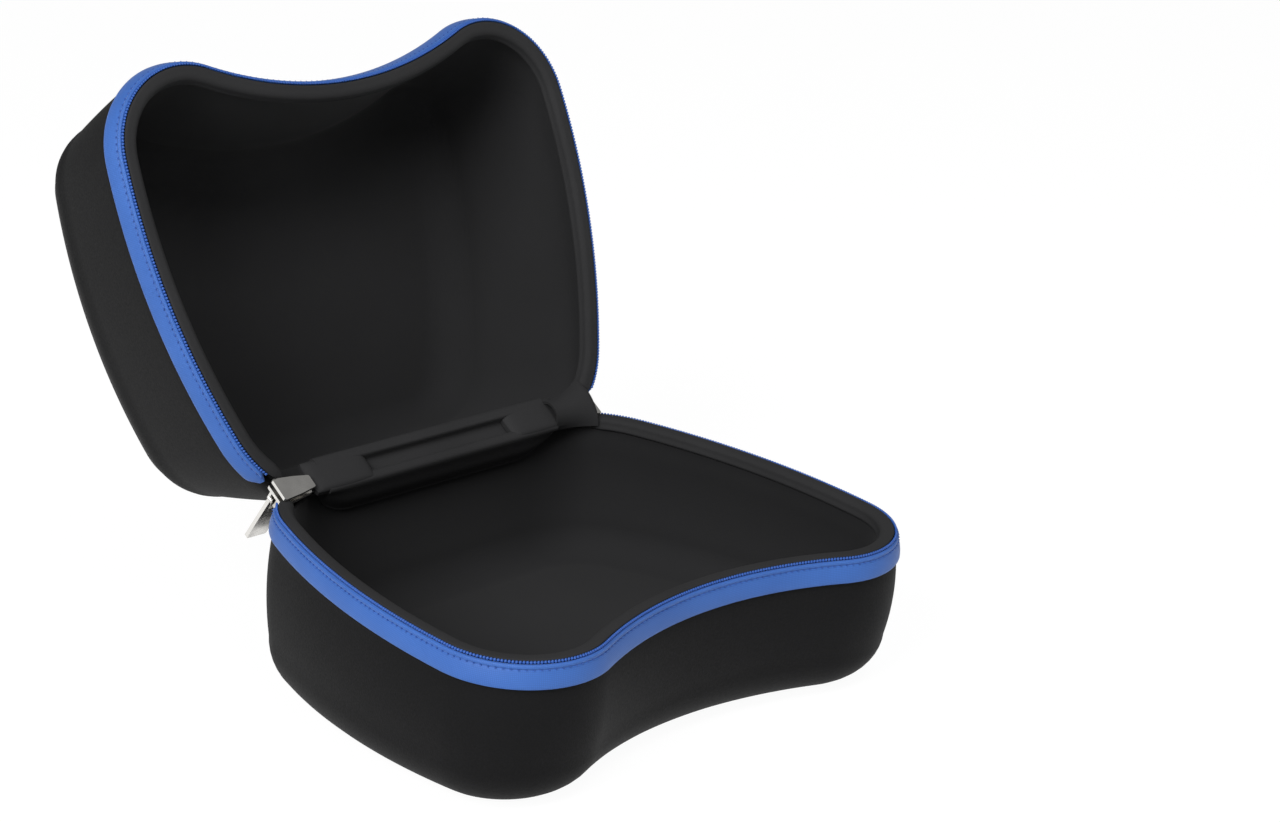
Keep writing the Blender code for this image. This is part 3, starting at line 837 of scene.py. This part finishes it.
    def lip_profile(self) -> Section:
        """Section of the padded lip: a soft roll that stands over the edge of the band."""
        outer = self.coil_thickness + self.gap + self.lip_setback
        inner = outer + self.lip_width
        deep = self.lip_depth
        roll = [(inner, deep * 0.55), (inner - 0.2, 1.1), (inner - 1.5, 0.12), (outer, 0.08)]
        edge = [(1.1, 0.1), (0.5, 0.4), (0.6, 0.9), (0.95, 1.3), (1.0, 2.4)]
        foot = [(outer, deep), (inner, deep), (inner + 0.6, deep * 0.85)]
        return rounded(roll + edge + foot)

    def build(self, finishes: Finishes, teeth: PathRepeat, stitches: PathRepeat) -> None:
        """Builds and dresses the half.

        Args:
            finishes: The materials.
            teeth: Tree of the coil's teeth.
            stitches: Tree of the stitches.
        """
        prefix = self.body.value
        self.shell(prefix + "_moulded_shell", finishes.shell, prefix + "_shell")
        self.lining_skin(prefix + "_soft_lining", finishes.lining, prefix + "_lining")
        lip_name = prefix + "_padded_lip"
        lip = self.strip(lip_name, self.lip_profile(), finishes.piping, prefix + "_rim_lip", self.fine)
        self.strip(prefix + "_woven_band", self.tape_profile(), finishes.tape, prefix + "_zip_tape")
        slant = REPEAT_SLANT * self.side
        middle = self.zip_line(self.coil_inset, self.coil_depth)
        coil = teeth.along(prefix + "_coil_teeth", middle, self.place, COIL_TEETH_MM, slant)
        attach(coil, self.body.value)
        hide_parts(prefix + "_zip_coil")
        row = stitches.along(prefix + "_stitch_row", self.stitch_path(), self.place, STITCHES_MM, slant)
        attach(row, self.body.value)
        LOG.info("%s half built", prefix)


@dataclass
class GamepadRelief:
    """Plain gamepad shapes pressed into the roof of the lid; heights are outwards."""

    plan: RimPlan
    body_height: float = 1.4
    body_inset: float = 12.0
    notch_top: float = -6.0
    notch_half: float = 35.8
    leg_foot: tuple[float, float] = (56.0, -51.5)
    pad_y: float = 47.0
    pad_half: tuple[float, float] = (26.0, 20.0)
    stick_place: tuple[float, float] = (25.1, 10.0)
    stick_r: float = 10.2
    bar_y: float = 4.7
    bar_half: tuple[float, float] = (4.3, 1.8)
    slot_place: tuple[float, float] = (33.4, 50.5)
    slot_half: tuple[float, float] = (2.2, 3.6)
    buttons_place: tuple[float, float] = (44.1, 34.7)
    buttons_spread: float = 10.2
    button_r: float = 5.1
    cross_place: tuple[float, float] = (-46.8, 33.8)
    petal: tuple[tuple[float, float], ...] = ((3.2, 0.0), (6.8, -3.9), (12.6, -3.9), (12.6, 3.9), (6.8, 3.9))

    def _step(self, distance: np.ndarray, soft: float) -> np.ndarray:
        """Smooth step that is 1 inside and 0 outside."""
        t = np.clip(0.5 - distance / soft, 0, 1)
        return t * t * (3 - 2 * t)

    def _groove(self, distance: np.ndarray, width: float) -> np.ndarray:
        """Narrow dent along a line."""
        return np.exp(-((distance / width) ** 2))

    def _key(self, distance: np.ndarray, lift: float, soft: float, rim: Point) -> np.ndarray:
        """Raised or sunk key.

        Args:
            distance: Signed distance to its outline.
            lift: Its height.
            soft: Width of its soft edge.
            rim: Height, distance and width of the rim round it.

        Returns:
            Heights in millimetres.
        """
        height, away, width = rim
        return lift * self._step(distance, soft) + height * self._groove(distance - away, width)

    def _polygon(self, x: np.ndarray, y: np.ndarray, points: np.ndarray) -> np.ndarray:
        """Signed distance to a polygon, negative inside."""
        best = np.full(x.shape, 1e9)
        inside = np.zeros(x.shape, bool)
        for a, b in zip(points, np.roll(points, -1, axis=0)):
            ex, ey = b - a
            wx, wy = x - a[0], y - a[1]
            t = np.clip((wx * ex + wy * ey) / (ex * ex + ey * ey), 0, 1)
            best = np.minimum(best, (wx - ex * t) ** 2 + (wy - ey * t) ** 2)
            crosses = (a[1] > y) != (b[1] > y)
            with np.errstate(divide="ignore", invalid="ignore"):
                inside ^= crosses & (x < ex * (y - a[1]) / ey + a[0])
        return np.where(inside, -1.0, 1.0) * np.sqrt(best)

    def _box(self, x: np.ndarray, y: np.ndarray, half_x: float, half_y: float, radius: float) -> np.ndarray:
        """Signed distance to a rounded box at the origin."""
        dx = np.abs(x) - half_x + radius
        dy = np.abs(y) - half_y + radius
        return np.hypot(np.maximum(dx, 0), np.maximum(dy, 0)) + np.minimum(np.maximum(dx, dy), 0) - radius

    def _silhouette(self) -> np.ndarray:
        """Outline of the gamepad's body: the case's own outline with the notch between the grips."""
        half = self.plan.half(self.body_inset, 3)
        cut = half[(half[:, 1] > self.leg_foot[1] + 6) | (half[:, 0] > self.leg_foot[0] + 9)]
        cut = cut[~((cut[:, 0] < self.leg_foot[0] + 4) & (cut[:, 1] < 0))]
        foot = np.array(self.leg_foot)
        top, side = self.notch_top, self.notch_half
        notch = [[0.0, top], [side - 3, top], [side + 2, top - 3.5], foot - [1.5, -6], foot + [2.5, -1.5]]
        right = np.vstack([notch, cut])
        return np.vstack([right, right[1:-1][::-1] * [-1.0, 1.0]])

    def __call__(self, x: np.ndarray, y: np.ndarray) -> np.ndarray:
        """Height of the relief over the roof.

        Args:
            x: Places across the case, in millimetres.
            y: Places along the case, in millimetres.

        Returns:
            Heights in millimetres.
        """
        d = self._polygon(x, y, self._silhouette())
        height = self.body_height * self._step(d - 0.5, 3.0) - 0.5 * self._groove(d - 1.8, 1.1)
        across = np.abs(x)
        pad = self._box(x, y - self.pad_y, *self.pad_half, 5.0)
        height += self._key(pad, lift=0.9, soft=2.2, rim=(-0.3, 1.2, 1.0))
        stick = np.hypot(across - self.stick_place[0], y - self.stick_place[1]) - self.stick_r
        height += self._key(stick, lift=0.5, soft=1.6, rim=(-0.7, 0.3, 0.8))
        height += 0.35 * self._groove(stick - 2.0, 1.2)
        bar = self._box(x, y - self.bar_y, *self.bar_half, 1.2)
        height += self._key(bar, lift=-1.1, soft=1.0, rim=(0.3, 0.9, 0.7))
        slot = self._box(across - self.slot_place[0], y - self.slot_place[1], *self.slot_half, 2.1)
        height += self._key(slot, lift=-1.0, soft=1.0, rim=(0.25, 0.9, 0.7))
        home = np.array(self.petal)
        for k in range(4):
            ux, uy = math.cos(math.pi / 2 * k), math.sin(math.pi / 2 * k)
            cx = self.buttons_place[0] + self.buttons_spread * ux
            cy = self.buttons_place[1] + self.buttons_spread * uy
            button = np.hypot(x - cx, y - cy) - self.button_r
            height += self._key(button, lift=1.0, soft=2.0, rim=(-0.35, 0.6, 0.7))
            dx, dy = x - self.cross_place[0], y - self.cross_place[1]
            petal = self._polygon(dx * ux + dy * uy, dy * ux - dx * uy, home) - 0.8
            height += self._key(petal, lift=1.0, soft=1.8, rim=(-0.35, 0.5, 0.7))
        return height


@dataclass
class HingeTrim:
    """Cloth strip inside the hinge, with its fold, and the padded tabs at both ends."""

    plan: RimPlan
    base_face: float = 1.4
    lid_face: float = 3.7
    thickness: float = 1.0
    flap: float = 15.0
    lean: float = 1.2
    half_length: float = 50.0
    end_curve: float = 14.0
    cloth_start_deg: float = 80.0
    cloth_inset: float = 9.6
    cloth_thickness: float = 1.0
    tab_inner: float = 30.3
    tab_outer: float = 55.3
    tab_width: float = 12.6
    tab_thickness: float = 4.4

    def _on_lid(self, y: float, z: float) -> tuple[float, float]:
        """Turns a point of the closed lid, relative to the hinge, to the open lid."""
        cos_open = math.cos(2 * self.plan.half_open)
        sin_open = math.sin(2 * self.plan.half_open)
        return (y * cos_open + z * sin_open, -y * sin_open + z * cos_open)

    def _from_middle(self, across: float, inward: float) -> tuple[float, float]:
        """Turns distances from the hinge's middle plane, at rest, to y and z."""
        cos_half, sin_half = math.cos(self.plan.half_open), math.sin(self.plan.half_open)
        return (across * sin_half - inward * cos_half, across * cos_half + inward * sin_half)

    def ridge(self, base_y: float, lid_y: float) -> tuple[float, float]:
        """Where a base face and a lid face meet."""
        open_angle = 2 * self.plan.half_open
        return self._on_lid(lid_y, (base_y - lid_y * math.cos(open_angle)) / math.sin(open_angle))

    def strip(self, material: Material) -> Object:
        """The strip: a padded flange on the base, a sunk fold and a thin flange on the lid."""
        inner_base = self.base_face - self.thickness
        inner_lid = self.lid_face - self.thickness
        back = [
            (self.base_face, -self.flap),
            self.ridge(self.base_face, self.lid_face),
            self._on_lid(self.lid_face - self.lean, self.flap),
            self._on_lid(inner_lid - self.lean, self.flap),
            self._on_lid(inner_lid - 0.2, 9.5),
        ]
        pad = [(4.6, -6.6), (3.2, -10.6), (0.7, -13.4), (0.0, -14.2), (0.0, -self.flap)]
        flange = [(inner_base - inward, z) for inward, z in pad]
        fold = [self._from_middle(*spot) for spot in LID_FOLD + BASE_FOLD]
        dense = rounded(back + fold + flange)
        rings = []
        for x in np.linspace(-self.half_length, self.half_length, 60):
            near = max(0.0, (abs(x) - self.half_length) / self.end_curve + 1.0)
            shrink = math.sqrt(1.0 - 0.92 * near**2)
            ring = []
            for y, z in dense:
                low = -4.0 + (z + 4.0) * shrink if z < -4.0 else z
                ring.append((x, self.plan.hinge_y + y, self.plan.hinge_raise + low))
            rings.append(np.array(ring))
        obj = loft("hinge_cloth_strip", rings, self.plan.rim_place(), material, sharp_deg=60)
        self.bend(obj)
        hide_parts("hinge_gusset")
        return obj

    def end_cloth(self, side: Side, material: Material, fine: int = 6) -> Object:
        """Cloth fan that closes the corner between the two lips, in front of the slider.

        Args:
            side: End of the hinge.
            material: Its cloth.
            fine: Steps from the base to the lid.

        Returns:
            The new object.
        """
        plan = self.plan
        start, end = math.radians(self.cloth_start_deg), math.radians(plan.zip_end_deg + 1.5)
        centre = np.array([plan.rear_flat, plan.back - plan.rear_corner])
        count = 2 * fine
        rings = []
        for k in range(15):
            share = k / 14
            angle = start + (end - start) * share
            ring = []
            steps = range(count + 1)
            for thick, order in ((0.0, steps), (self.cloth_thickness, reversed(steps))):
                radius = plan.rear_corner - self.cloth_inset + 4.0 * share - thick
                x = side.value * (centre[0] + radius * math.cos(angle))
                reach = centre[1] + radius * math.sin(angle) - plan.hinge_y
                for j in order:
                    turn = 2 * plan.half_open * j / count
                    y = reach * (1 - 0.38 * share * math.sin(math.pi * j / count))
                    z = 2.6 * (2 * j / count - 1) - plan.hinge_raise
                    turned_y = y * math.cos(turn) + z * math.sin(turn)
                    turned_z = z * math.cos(turn) - y * math.sin(turn)
                    ring.append((x, plan.hinge_y + turned_y, plan.hinge_raise + turned_z))
            rings.append(np.array(ring))
        obj = loft(side.word + "_corner_cloth", rings, plan.rim_place(), material, sharp_deg=60)
        self.bend(obj)
        return obj

    def bend(self, obj: Object) -> None:
        """Puts the piece's place into its vertices and leaves it at the origin."""
        place = self.plan.rim_place()
        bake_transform(obj)

    def tab(self, side: Side, material: Material) -> Object:
        """Padded tab: a pillow whose edges thin out and whose corners are round.

        Args:
            side: End of the hinge.
            material: Its cloth.

        Returns:
            The new object.
        """
        top = self.ridge(self.base_face - self.thickness, self.lid_face - self.thickness)
        ridge_out = top[0] * math.cos(self.plan.half_open) - top[1] * math.sin(self.plan.half_open)
        middle_y = ridge_out - 0.3 - self.tab_thickness / 2
        centre = side.value * (self.tab_inner + self.tab_outer) / 2
        length = self.tab_outer - self.tab_inner
        mesh = bmesh.new()
        bmesh.ops.create_cube(mesh, size=1.0)
        bmesh.ops.subdivide_edges(mesh, edges=mesh.edges, cuts=15, use_grid_fill=True)
        for vert in mesh.verts:
            u, v, w = vert.co.x * 2, vert.co.z * 2, vert.co.y * 2
            crown = (1 - abs(u) ** 5) ** 0.5 * (1 - abs(v) ** 4) ** 0.5
            squeeze = 1 - 0.05 * abs(u * v) ** 2
            vert.co = Vector((
                centre + u * squeeze * length / 2,
                middle_y + w * (0.35 + 0.65 * crown) * self.tab_thickness / 2,
                v * squeeze * self.tab_width / 2,
            ))
            vert.co = (vert.co + Vector((0.0, self.plan.hinge_y, self.plan.hinge_raise))) * MM
        place = self.plan.turned(0.5)
        obj = mesh_object(side.word + "_padded_tab", mesh, place, material, 60)
        self.bend(obj)
        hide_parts(side.word + "_zip_end_tab")
        return obj


@dataclass(frozen=True)
class Lamp:
    """Soft square lamp: its place and aim in metres, its side in metres and its power in watts."""

    name: str
    place: Point
    aim: Point
    side: float
    watts: float

    def build(self) -> None:
        """Hangs the lamp."""
        data = bpy.data.lights.new(self.name, "AREA")
        data.size = self.side
        data.energy = self.watts
        lamp = add_object(self.name, data)
        lamp.location = self.place
        direction = Vector(self.aim) - Vector(self.place)
        lamp.rotation_euler = direction.to_track_quat("-Z", "Y").to_euler()


@dataclass
class Studio:
    """Pale floor, plain soft light and the camera at the photograph's angle."""

    camera_place: Point = (-0.6246, -0.6468, 0.3725)
    camera_turn_deg: Point = (72.671, -1.224, -45.189)
    lens_mm: float = 84.2
    floor_size: float = 6.0
    floor_glow: float = 1.06
    glow_share: float = 0.9
    surroundings: float = 0.22
    lamps: tuple[Lamp, ...] = (
        Lamp("key_lamp", (-1.35, -0.4, 1.0), (0.0, 0.0, 0.05), 0.8, 21.0),
        Lamp("fill_lamp", (1.1, -0.9, 0.9), (0.0, 0.0, 0.05), 1.2, 1.0),
        Lamp("front_lamp", (-0.2, -0.9, 1.5), (0.0, 0.05, 0.1), 0.6, 9.0),
    )

    def floor(self) -> None:
        """Lays the floor, white to the camera with a soft shadow of the case."""
        mesh = bmesh.new()
        bmesh.ops.create_grid(mesh, x_segments=1, y_segments=1, size=self.floor_size / 2)
        material = bpy.data.materials.new("white_studio_floor")
        tree = cleared_tree(material)
        paint = add_node(tree, "ShaderNodeBsdfDiffuse", {"Color": linear("#F4F4F4")})
        glow = add_node(tree, "ShaderNodeEmission", {"Color": WHITE, "Strength": self.floor_glow})
        path = add_node(tree, "ShaderNodeLightPath")
        rays = {0: path.outputs["Is Camera Ray"], 1: path.outputs["Is Glossy Ray"]}
        seen = add_node(tree, "ShaderNodeMath", {"operation": "MAXIMUM"}, rays)
        part = {"operation": "MULTIPLY", 1: self.glow_share}
        share = add_node(tree, "ShaderNodeMath", part, {0: seen.outputs[0]})
        parts = {0: share.outputs[0], 1: paint.outputs["BSDF"], 2: glow.outputs["Emission"]}
        mix = add_node(tree, "ShaderNodeMixShader", {}, parts)
        add_node(tree, "ShaderNodeOutputMaterial", {}, {"Surface": mix.outputs["Shader"]})
        data = bpy.data.meshes.new("studio_floor")
        mesh.to_mesh(data)
        mesh.free()
        data.materials.append(material)
        floor = add_object("studio_floor", data)
        floor.location.z = -0.0002

    def world(self) -> None:
        """White surroundings for the camera and a plain grey light on the case."""
        world = bpy.data.worlds.new("studio_world")
        tree = cleared_tree(world)
        path = add_node(tree, "ShaderNodeLightPath")
        light = add_node(tree, "ShaderNodeBackground", {"Color": WHITE, "Strength": self.surroundings})
        white = add_node(tree, "ShaderNodeBackground", {"Color": WHITE, "Strength": 1.0})
        parts = {0: path.outputs["Is Camera Ray"]}
        parts |= {1: light.outputs["Background"], 2: white.outputs["Background"]}
        mix = add_node(tree, "ShaderNodeMixShader", {}, parts)
        add_node(tree, "ShaderNodeOutputWorld", {}, {"Surface": mix.outputs["Shader"]})
        bpy.context.scene.world = world

    def camera(self) -> None:
        """Sets the camera."""
        data = bpy.data.cameras.new("camera")
        data.lens = self.lens_mm
        data.sensor_width = 36.0
        data.clip_start = 0.05
        data.clip_end = 20.0
        camera = add_object("camera", data)
        camera.location = self.camera_place
        camera.rotation_euler = tuple(math.radians(a) for a in self.camera_turn_deg)
        bpy.context.scene.camera = camera

    def build(self) -> None:
        """Sets the whole stage."""
        self.floor()
        self.world()
        for lamp in self.lamps:
            lamp.build()
        self.camera()
        bpy.context.scene.view_settings.view_transform = "Standard"


def main() -> None:
    """Builds the case and its stage in order."""
    logging.basicConfig(level=logging.INFO, format="%(name)s: %(message)s")
    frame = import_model()
    finishes = Finishes()
    plan = RimPlan()
    teeth = PathRepeat("coil_teeth_along_path", finishes.coil)
    stitches = PathRepeat("stitches_along_path", finishes.thread)
    base = CaseHalf(
        plan,
        Body.BASE,
        side=-1,
        height=plan.base_height,
        rise=math.tan(math.radians(plan.tilt_deg)),
        belly=1.2,
        draft=0.6,
        edge_r=17.5,
        wall=4.5,
        floor=10.0,
        lining=1.0,
    )
    base.build(finishes, teeth, stitches)
    lid = CaseHalf(
        plan,
        Body.LID,
        side=1,
        height=69.2,
        rise=0.084,
        belly=0.4,
        draft=8.0,
        edge_r=17.6,
        wall=2.4,
        floor=2.4,
        lining=0.8,
        relief=GamepadRelief(plan),
    )
    lid.build(finishes, teeth, stitches)
    hinge = HingeTrim(plan)
    hinge.strip(finishes.piping)
    hinge.end_cloth(Side.RIGHT, finishes.piping)
    for side in Side:
        hinge.tab(side, finishes.piping)
        LOG.info("%s tab built", side.word)
        for node in (side.word + "_slider", side.word + "_pull"):
            obj = frame["nodes"][node]
            obj.data.materials.clear()
            obj.data.materials.append(finishes.nickel)
    Studio().build()
    bpy.context.view_layer.update()
    LOG.info("sizes written")


if __name__ == "__main__":
    main()
